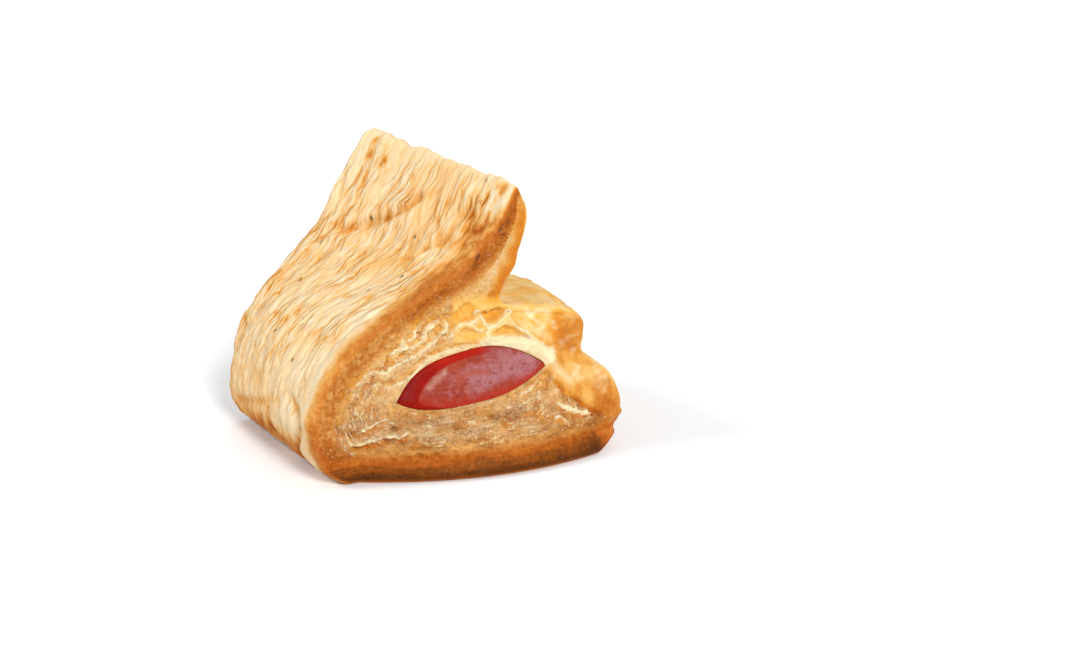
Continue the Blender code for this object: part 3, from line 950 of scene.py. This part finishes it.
class Finish:
    """A material of one Principled surface, and the nodes that feed it."""

    def __init__(self, name, **constants):
        self.material = bpy.data.materials.new(name)
        self.material.use_nodes = True
        self.tree = self.material.node_tree
        self.surface = self.tree.nodes["Principled BSDF"]
        for socket, value in constants.items():
            self.surface.inputs[socket.replace("_", " ")].default_value = value

    def node(self, kind, settings=None, inputs=None, output=0):
        """Any node: its settings first, then the values or links of its sockets."""
        node = self.tree.nodes.new(kind)
        for key, value in (settings or {}).items():
            if key == "stops":
                self._set_stops(node.color_ramp, value)
            else:
                setattr(node, key, value)
        for key, value in (inputs or {}).items():
            if isinstance(value, Amount):
                self.tree.links.new(value.socket, node.inputs[key])
            else:
                node.inputs[key].default_value = value
        return Amount(self, node.outputs[output])

    @staticmethod
    def _set_stops(ramp, stops):
        """Give a colour ramp these stops."""
        while len(ramp.elements) > 1:
            ramp.elements.remove(ramp.elements[0])
        for i, (place, colour) in enumerate(stops):
            element = ramp.elements[0] if i == 0 else ramp.elements.new(place)
            element.position = place
            element.color = colour

    def feed(self, socket, amount):
        """Let an amount drive one of the surface's sockets."""
        self.tree.links.new(amount.socket, self.surface.inputs[socket])

    def place(self):
        """Where the point lies on the piece, in metres."""
        return self.node("ShaderNodeTexCoord", output="Object")

    def stretched(self, place, scale):
        """A place with each of its axes scaled."""
        return self.node("ShaderNodeMapping", {"vector_type": "POINT"}, {"Vector": place, "Scale": scale})

    def painted(self, name):
        """The three amounts that are painted on the piece under a name."""
        colour = self.node("ShaderNodeAttribute", {"attribute_name": name}, output="Color")
        return [self.node("ShaderNodeSeparateColor", None, {0: colour}, output=i) for i in range(3)]

    def noise(self, vector, scale, detail, roughness):
        """Noise from 0 to 1."""
        inputs = {"Vector": vector, "Scale": scale, "Detail": detail, "Roughness": roughness}
        return self.node("ShaderNodeTexNoise", {"noise_dimensions": "3D"}, inputs)

    def cloud(self, place, size, detail=3.0, roughness=0.55):
        """Noise from 0 to 1 in lumps of the given size in millimetres."""
        return self.noise(place, 1 / (size * MM), detail, roughness)

    def coloured(self, level, stops):
        """The colour of a level, between the stops of a row of (place, colour)."""
        return self.node("ShaderNodeValToRGB", {"stops": stops}, {0: level})

    def mixed(self, amount, first, second):
        """Two colours mixed by an amount."""
        settings = {"data_type": "RGBA", "blend_type": "MIX", "clamp_factor": True}
        return self.node("ShaderNodeMix", settings, {0: amount, 6: first, 7: second}, output=2)

    def stained(self, colour, stains):
        """A colour with others mixed over it in turn, each by its own amount."""
        for amount, stain in stains:
            colour = self.mixed(amount, colour, stain)
        return colour

    def relief(self, height, depth):
        """A normal that is roughened by a height, of the given depth in millimetres."""
        return self.node("ShaderNodeBump", None, {"Height": height, "Distance": depth * MM, "Strength": 1.0})


# Under full light a surface looks this much brighter than its own colour.
LIGHT_GAIN = 1.30


def tint(red, green, blue):
    """The colour of a surface that looks like this on a screen, from 0 to 255, under full light."""
    shares = [channel / 255 for channel in (red, green, blue)]
    linear = [s / 12.92 if s <= 0.04045 else ((s + 0.055) / 1.055) ** 2.4 for s in shares]
    return (*[s / LIGHT_GAIN for s in linear], 1.0)


CRUST = [
    (0.00, tint(253, 234, 198)),
    (0.16, tint(252, 223, 178)),
    (0.30, tint(246, 199, 134)),
    (0.42, tint(232, 164, 80)),
    (0.54, tint(207, 125, 46)),
    (0.68, tint(184, 94, 16)),
    (0.82, tint(134, 68, 4)),
    (1.00, tint(80, 36, 0)),
]
CRUMB = [
    (0.00, tint(255, 240, 210)),
    (0.22, tint(250, 218, 166)),
    (0.38, tint(238, 180, 104)),
    (0.52, tint(206, 142, 72)),
    (0.72, tint(168, 100, 34)),
    (1.00, tint(110, 56, 12)),
]
BUTTER = [
    (0.00, tint(255, 242, 206)),
    (0.20, tint(255, 220, 152)),
    (0.34, tint(252, 196, 100)),
    (0.46, tint(240, 170, 60)),
    (0.60, tint(222, 132, 30)),
    (0.76, tint(192, 92, 12)),
    (1.00, tint(112, 50, 6)),
]


# How wide round the section and how high along the roll the broad and the narrow wrinkles are, and the
# crumb's layers.
WRINKLE_SIZES = [(18, 3.4), (9, 1.9), (5.5, 2.6)]


def baked_dough():
    """Flaky dough: pale gold to deep brown outside, layered cream within, yellow where buttery."""
    dough = Finish(
        "baked_dough", Subsurface_Weight=0.12, Subsurface_Radius=(1.0, 0.45, 0.15),
        Subsurface_Scale=0.0012, Specular_IOR_Level=0.09,
    )
    place = dough.place()
    brown, crumb, butter = dough.painted("baking_and_shade")
    pale, scorch, grainy = dough.painted("marks")
    around, along, rough = dough.painted("wrinkles")
    waver = dough.cloud(place, 9.0, detail=2.0) - 0.5
    unrolled = {0: around * ROUND_SPAN, 1: along * LONG_SPAN + waver * 4.0}
    unrolled = dough.node("ShaderNodeCombineXYZ", None, unrolled)
    scales = [(1 / wide, 1 / high, 1.0) for wide, high in WRINKLE_SIZES]
    broad, narrow, layered = (dough.stretched(unrolled, scale) for scale in scales)
    edge = {"feature": "DISTANCE_TO_EDGE", "voronoi_dimensions": "2D"}
    ridge = dough.node("ShaderNodeTexVoronoi", edge, {"Vector": broad, "Scale": 1.0})
    ripple = dough.noise(narrow, 1.0, 1.5, 0.5) - 0.5
    ripple = ripple.math("ABSOLUTE", ripple)
    groove_browning_and_shade, fine_groove_browning_and_shade = 1 - ridge.above(0.0, 0.12), 1 - ripple.above(0.0, 0.035)
    pads = ridge.above(0.0, 0.40) * 0.8 + ripple.above(0.0, 0.14) * 0.8
    # Thin torn layers of the crumb: each rises slowly and ends in a sharp edge over a gap. The edge is
    # painted paler, a painted highlight, and the gap darker, a painted shadow.
    sheet = along * 46 + (dough.noise(layered, 1.0, 3.0, 0.6) - 0.5) * 4.2
    sheet = sheet.math("FRACT", sheet)
    loose = crumb.above(0.6, 1.0) * dough.cloud(place, 4.0, detail=2.0).above(0.36, 0.60) * (1 - 0.8 * pale)
    gap_shadow, edge_highlight = (1 - sheet.above(0.0, 0.24)) * loose, sheet.above(0.66, 0.96) * loose
    streaks = dough.cloud(dough.stretched(place, (1.0, 4.5, 1.0)), 4.0, detail=5.0, roughness=0.62)
    grain = dough.cloud(place, 0.8, detail=4.0, roughness=0.6)
    crumbs = dough.cloud(place, 0.55, detail=3.0, roughness=0.7)
    blotches = dough.cloud(place, 6.0, detail=3.0)
    # The grooves are painted darker and oranger, partly browning and partly painted shade in them, and the
    # pads' tops a little paler.
    level = brown + rough * (0.13 * groove_browning_and_shade + 0.10 * fine_groove_browning_and_shade + 0.08 - 0.09 * pads) + (streaks - 0.5) * 0.08
    level = level + (grain - 0.5) * (0.08 + 0.22 * grainy) + (blotches - 0.5) * 0.10
    level = level + (crumbs - 0.5) * grainy * 0.24
    # Painted shadow in the layers' gaps and painted highlight on their edges.
    level = level + 0.11 * gap_shadow - 0.08 * edge_highlight
    crust, inside_crumb, buttery = (dough.coloured(level, stops) for stops in (CRUST, CRUMB, BUTTER))
    # The cream colour takes the dough's own pale parts and the painted highlights of the crests, the mouth
    # and the layers' edges.
    pale_and_highlight = (pale + edge_highlight * 0.45 + (crumbs - 0.5) * grainy * 1.4).above(0.10, 0.90)
    freckles = dough.cloud(place, 1.1, detail=1.0).above(0.745, 0.80)
    stains = [
        (crumb, inside_crumb),
        (butter, buttery),
        (pale_and_highlight * 0.95, tint(255, 238, 192)),
        (crumbs.above(0.58, 0.66) * grainy * 0.60, tint(252, 220, 166)),
        (freckles * 0.45, tint(150, 84, 34)),
        (scorch, tint(58, 28, 12)),
    ]
    dough.feed("Base Color", dough.stained(crust, stains))
    dough.feed("Roughness", 0.60 - 0.10 * brown.above(0.3, 0.7) + 0.12 * crumb)
    height = streaks * 0.25 + grain * (0.30 - 0.15 * pale) + crumbs * grainy * 0.70
    height = height + rough * 0.52 * pads + loose * sheet * 0.6
    dough.feed("Normal", dough.relief(height, 1.0))
    return dough.material


# ------------------------------------------------------------------ the sausage


# How many rings its back end, its sides, the passage to the slice and the slice are made of.
BACK_RINGS = 12
SIDE_RINGS = 60
PASSAGE_RINGS = 7
SLICE_RINGS = 40
SNUG = 0.2
# The sausage's rings close where their first and last points lie within this many metres.
SEAM_WIDTH = 1e-7

# Streaks on the sliced face: fat, paler meat, rust and mauve.
FAT_STREAK = [(25.2, 25.4), (27.8, 27.1), (30.6, 28.6)]
PALE_STREAK = [(33, 25.5), (42, 28.4), (50, 28.8)]
RUST_STREAK = [(31.5, 29.0), (35.5, 30.6), (33.5, 26.2), (39, 27.4), (43, 27.0)]
LOW_RUST_STREAK = [(44, 21.6), (49, 21.0)]
MAUVE_STREAK = [(39, 25.0), (46, 27.0), (56, 27.0)]


def sliced(loop):
    """The edge of the slice, drawn in towards the right end."""
    return SLICE_PIVOT + (loop - SLICE_PIVOT) * SLICE_SCALE


def rings_within(outline, shares, y_share, stands_out=0.0):
    """Smaller and larger copies of an outline about its middle, all at one end."""
    middle = outline.mean(0)
    return [in_space(middle + (outline - middle) * share, y_share, stands_out) for share in shares]


def sausage_loops():
    """Loops of the sausage's skin from its flat back end to the middle of its sliced face."""
    outline = sausage_outline(SNUG)
    loops = rings_within(outline, np.linspace(0.04, 0.96, BACK_RINGS), 1.0)
    loops += [in_space(outline, t) for t in np.linspace(1.0, 0.0, SIDE_RINGS)]
    for turn in np.linspace(0, 1, PASSAGE_RINGS + 1)[1:]:
        blend = outline + (sliced(outline) - outline) * turn
        loops.append(in_space(blend, 0.0, SAUSAGE_STANDS_OUT * np.sin(turn * np.pi / 2) ** 0.9))
    shares = np.linspace(0.975, 0.02, SLICE_RINGS)
    return loops + rings_within(sliced(outline), shares, 0.0, SAUSAGE_STANDS_OUT)


def make_sausage():
    """A flat sausage, sliced at both ends: red, glossy skin and a pink, speckled cut face."""
    loops = sausage_loops()
    deselect()
    bpy.ops.mesh.primitive_grid_add(x_subdivisions=SAUSAGE_SIDES, y_subdivisions=len(loops) - 1, size=1.0)
    piece = bpy.context.object
    piece.name = piece.data.name = "sliced_sausage"
    mesh = piece.data
    move_points(mesh, np.concatenate([np.concatenate([ring, ring[:1]]) for ring in loops]))
    bpy.ops.object.mode_set(mode="EDIT")
    bpy.ops.mesh.select_all(action="SELECT")
    bpy.ops.mesh.remove_doubles(threshold=SEAM_WIDTH)
    bpy.ops.mesh.select_all(action="DESELECT")
    bpy.ops.mesh.select_non_manifold()
    bpy.ops.mesh.fill()
    bpy.ops.mesh.select_all(action="SELECT")
    bpy.ops.mesh.normals_make_consistent(inside=False)
    bpy.ops.object.mode_set(mode="OBJECT")
    mesh.shade_smooth()
    co = np.empty(len(mesh.vertices) * 3, np.float32)
    mesh.vertices.foreach_get("co", co)
    spots = co.reshape(-1, 3) / MM - OFFSET
    section = spots[:, [0, 2]]
    x, z = section.T
    edge = sliced(sausage_outline(SNUG))
    from_edge = from_line(section, [*edge, edge[0]])
    on_slice = inside(section, edge) & (spots[:, 1] < in_space(section, 0.0, 0.5)[:, 1])
    back_end = spots[:, 1] > in_space(section, 0.999)[:, 1]
    rim = (spots[:, 1] < in_space(section, 0.0, 0.05)[:, 1]) * smooth(x, 40, 47)
    cut = np.maximum.reduce([on_slice * smooth(from_edge, -0.1, 0.25), back_end, rim])
    lumps = 0.16 * clouds(spots.T, (4, 4, 4), 40, 2) + 0.08 * clouds(spots.T, (1.1, 1.1, 1.1), 41)
    out = cut * smooth(from_edge, 0, 1) * lumps + (1 - cut) * 0.12 * clouds(spots.T, (3, 6, 1.6), 42, 2)
    move_points(mesh, spots + normals_of(mesh) * out[:, None])
    fat = near(section, FAT_STREAK, 0.9) + 0.15 * near(section, PALE_STREAK, 1.6)
    rust = np.maximum(near(section, RUST_STREAK, 1.0), near(section, LOW_RUST_STREAK, 1.4))
    low_rim = cut * hump(from_edge, 0, 1.7) * smooth(26.5 + 0.1 * (x - 40) - z, 0, 4)
    paint(mesh, "meat", cut, fat * cut, rust * cut)
    paint(mesh, "rims", low_rim, smooth(24 - x, 0, 7), near(section, MAUVE_STREAK, 3.6))
    return piece


def sausage_meat():
    """Red skin with a shine, and pale pink meat with fat streaks and darker grains where it is cut."""
    meat = Finish(
        "sausage_meat", Subsurface_Weight=0.08, Subsurface_Radius=(1.0, 0.3, 0.2), Subsurface_Scale=0.0010,
        Specular_IOR_Level=0.04, Coat_Roughness=0.3,
    )
    place = meat.place()
    cut, fat, rust = meat.painted("meat")
    low_rim, left, mauve = meat.painted("rims")
    broad = meat.cloud(meat.stretched(place, (0.5, 1.0, 1.4)), 5.5, detail=5.0, roughness=0.6)
    grains = meat.cloud(place, 2.2, detail=4.0, roughness=0.65)
    fleck = meat.cloud(place, 0.9, detail=2.0)
    skin = meat.mixed(broad.above(0.3, 0.7), tint(146, 14, 4), tint(184, 34, 16))
    skin = meat.mixed(left * 0.6, skin, tint(108, 10, 4))
    flesh = meat.mixed((broad + mauve * 0.35).above(0.48, 0.82), tint(160, 62, 44), tint(176, 112, 116))
    stains = [
        (grains.above(0.48, 0.66) * 0.5, tint(186, 122, 122)),
        (grains.above(0.50, 0.36) * 0.45, tint(164, 70, 58)),
        (fleck.above(0.57, 0.68) * 0.65, tint(136, 44, 40)),
        (fat * grains * 0.9, tint(214, 170, 148)),
        (rust * 0.55, tint(176, 72, 38)),
        (low_rim * 0.85, tint(176, 44, 24)),
    ]
    meat.feed("Base Color", meat.mixed(cut, skin, meat.stained(flesh, stains)))
    meat.feed("Roughness", 0.44 + 0.10 * cut)
    meat.feed("Coat Weight", 0.02 * (1 - cut))
    meat.feed("Normal", meat.relief(grains * 0.9 + fleck * 0.6, 0.5))
    return meat.material


# ------------------------------------------------------------------ loose flakes


class Sheet:
    """One thin, ragged flake of dough that stands out of an end of the roll along a line."""

    def __init__(self, line, lift, lean, brown, butter=0.0, pale=0.5, ragged=0.5, wave=0.35):
        self.line, self.lift, self.lean, self.ragged, self.wave = line, lift, lean, ragged, wave
        self.brown, self.butter, self.pale = brown, butter, pale


# The tips of the front end's two highest crests.
CREST_TIPS = [[(40.3, 42.4), (41.1, 44.2), (42.0, 42.4)], [(49.6, 41.6), (50.7, 42.8), (51.3, 41.0)]]
FRONT_SHEETS = [Sheet(tip, 0.4, 0.6, 0.2, butter=0.6, pale=0.9, ragged=0.2, wave=0.1) for tip in CREST_TIPS]
BACK_SHEETS = 20
BACK_SHEETS_SEED = 6
ANGLE_STEP = 3.0
SHEET_STEP = 0.4
SHEET_ROWS = 4
SHEET_ROOT = 3.2
SHEET_TAPER = 1.2
SHEET_THICKNESS = 0.42


def layer_line(share, start, end):
    """A line between the sausage and the rim, at a share of the way out, between two angles in degrees."""
    rim = shrunk(dough_outline(0.0), END_ROUNDING)
    outline = sausage_outline(SAUSAGE_GAP)
    points = []
    for angle in np.radians(np.arange(start, end, ANGLE_STEP)):
        ray = np.array([np.cos(angle), np.sin(angle)])
        reach = []
        for loop in (outline, rim):
            aside = (loop - SAUSAGE_CENTRE) @ np.array([-ray[1], ray[0]])
            along = (loop - SAUSAGE_CENTRE) @ ray
            crossing = (aside * np.roll(aside, -1) <= 0) & (along > 0)
            reach.append(along[crossing].min())
        points.append(SAUSAGE_CENTRE + ray * (reach[0] + (reach[1] - reach[0]) * share))
    return points


def layered_sheets(seed, count):
    """Small flakes along the layers of the dough, spread round the sausage."""
    chance = np.random.default_rng(seed)
    sheets = []
    for _ in range(count):
        start = chance.uniform(112, 325)
        length = chance.uniform(12, 34)
        share = chance.uniform(0.12, 0.62)
        line = layer_line(share, start, min(start + length, 348))
        if len(line) > 2:
            lift = chance.uniform(-0.2, 0.7)
            brown = chance.uniform(0.26, 0.46)
            sheets.append(Sheet(line, lift, chance.uniform(0.1, 0.4), brown, pale=chance.uniform(0.1, 0.6)))
    return sheets


def make_sheet(sheet, t, seed):
    """A grid bent along the sheet's line, from its root in the dough to its ragged free edge."""
    line = np.array(sheet.line)
    lengths = np.concatenate([[0], np.cumsum(np.linalg.norm(np.diff(line, axis=0), axis=1))])
    columns = max(8, int(lengths[-1] / SHEET_STEP))
    deselect()
    bpy.ops.mesh.primitive_grid_add(x_subdivisions=columns, y_subdivisions=SHEET_ROWS, size=1.0)
    piece = bpy.context.object
    along = np.linspace(0, lengths[-1], columns + 1)
    base = np.stack([np.interp(along, lengths, axis) for axis in line.T], 1)
    rough = clouds((along, along * 0), (3.2, 1), seed, 2)
    aside = np.gradient(base, axis=0)[:, ::-1] * [-1, 1]
    aside /= np.linalg.norm(aside, axis=1)[:, None]
    base = base + aside * (sheet.wave * clouds((along, along * 0), (4.5, 1), seed + 50, 2))[:, None]
    share = along / lengths[-1]
    taper = np.minimum(1, 4 * share) * np.minimum(1, 4 * (1 - share))
    torn = rough + 0.4 * clouds((along, along * 0), (0.9, 1), seed + 90)
    edge = SHEET_ROOT - SHEET_TAPER + (SHEET_TAPER + sheet.lift + sheet.ragged * torn) * np.sqrt(taper)
    facing = -1 if t == 0.0 else 1
    spots = []
    for v in np.linspace(0, 1, SHEET_ROWS + 1):
        row = in_space(base + aside * (sheet.lean * v**2 * (0.6 + 0.8 * rough))[:, None], t)
        row[:, 1] += facing * (edge * v - SHEET_ROOT)
        spots.append(row)
    spots = np.concatenate(spots)
    mesh = piece.data
    move_points(mesh, spots)
    out = np.repeat(np.linspace(0, 1, SHEET_ROWS + 1), columns + 1)
    shade = 0.10 * clouds(spots.T, (2.5, 2.5, 2.5), seed + 7, 2)
    plain = np.ones(len(spots))
    baked = sheet.brown + shade + 0.12 * (1 - out)
    paint(mesh, "baking_and_shade", baked, plain * (1 - 0.5 * sheet.butter), plain * sheet.butter)
    paint(mesh, "marks", sheet.pale * smooth(out, 0.55, 1.0), plain * 0.0, plain * 0.5)
    return piece


def make_flakes():
    """All the loose flakes of both ends as one piece."""
    plans = [(sheet, 0.0) for sheet in FRONT_SHEETS]
    plans += [(sheet, 1.0) for sheet in layered_sheets(BACK_SHEETS_SEED, BACK_SHEETS)]
    pieces = [make_sheet(sheet, t, 100 + i) for i, (sheet, t) in enumerate(plans)]
    deselect()
    for piece in pieces:
        piece.select_set(True)
    flakes = pieces[0]
    bpy.context.view_layer.objects.active = flakes
    bpy.ops.object.join()
    flakes.name = flakes.data.name = "loose_flakes"
    solidify = flakes.modifiers.new("thickness", "SOLIDIFY")
    solidify.thickness = SHEET_THICKNESS * MM
    solidify.offset = 0.0
    bpy.ops.object.modifier_apply(modifier=solidify.name)
    flakes.data.shade_smooth()
    return flakes


# ------------------------------------------------------------------ table, light and camera


def deselect():
    """Leave nothing selected."""
    for thing in bpy.context.selected_objects:
        thing.select_set(False)


FLOOR_SIZE = 6.0
FLOOR_COLOUR = (0.87, 0.88, 0.89, 1.0)


def plain_floor():
    """A wide, white table top."""
    deselect()
    bpy.ops.mesh.primitive_plane_add(size=FLOOR_SIZE, location=(0, 0, 0))
    floor = bpy.context.object
    floor.name = "white_table"
    floor.data.materials.append(Finish("white_table", Base_Color=FLOOR_COLOUR, Roughness=0.9).material)


AIM = Vector((0.0145, -0.0426, 0.0413))
CAMERA_AZIMUTH = -29.0
CAMERA_ELEVATION = 17.0
CAMERA_DISTANCE = 0.692
LENS = 85.0
SENSOR_WIDTH = 36.0
# Each lamp's name, the compass angle and the height it shines from, how wide its light spreads, all in
# degrees, and its strength.
LAMPS = [("key", -108, 42, 15, 1.25), ("fill", -8, 32, 16, 2.8), ("right", 105, 50, 60, 0.7)]
ROOM_LIGHT = 0.45


def direction(azimuth, elevation):
    """The way to look from, at a compass angle from the front end and a height, in degrees."""
    turn, rise = math.radians(azimuth), math.radians(elevation)
    return Vector((math.sin(turn) * math.cos(rise), -math.cos(turn) * math.cos(rise), math.sin(rise)))


def soft_sun(name, azimuth, elevation, spread, strength):
    """Even light from one side. Its shadows are the softer the wider its spread, in degrees."""
    bpy.ops.object.light_add(type="SUN", location=AIM + direction(azimuth, elevation))
    lamp = bpy.context.object
    lamp.name = name
    lamp.rotation_euler = direction(azimuth, elevation).to_track_quat("Z", "Y").to_euler()
    lamp.data.angle = math.radians(spread)
    lamp.data.energy = strength


def studio():
    """Three soft lamps in a white room, and the camera."""
    for lamp in LAMPS:
        soft_sun(*lamp)
    world = bpy.context.scene.world or bpy.data.worlds.new("room")
    bpy.context.scene.world = world
    world.use_nodes = True
    room = world.node_tree.nodes["Background"]
    room.inputs["Color"].default_value = (1.0, 1.0, 1.0, 1.0)
    room.inputs["Strength"].default_value = ROOM_LIGHT
    bpy.context.scene.view_settings.view_transform = "Standard"
    back = direction(CAMERA_AZIMUTH, CAMERA_ELEVATION)
    bpy.ops.object.camera_add(location=AIM + back * CAMERA_DISTANCE)
    camera = bpy.context.object
    camera.rotation_euler = back.to_track_quat("Z", "Y").to_euler()
    camera.data.lens = LENS
    camera.data.sensor_width = SENSOR_WIDTH
    bpy.context.scene.camera = camera


# ------------------------------------------------------------------ putting it together


def main():
    """Make the pieces, put them on the part's body, and set the table, the light and the camera."""
    dough, meat = baked_dough(), sausage_meat()
    pastry = make_pastry()
    pastry.data.materials.append(dough)
    sausage = make_sausage()
    sausage.data.materials.append(meat)
    flakes = make_flakes()
    flakes.data.materials.append(dough)
    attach(flakes, "root")
    for piece, node, finish in ((pastry, "pastry", "baked_dough"), (sausage, "sausage", "sausage_meat")):
        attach(piece, "root")
        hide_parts(node)
    plain_floor()
    studio()
    bpy.context.view_layer.update()


main()
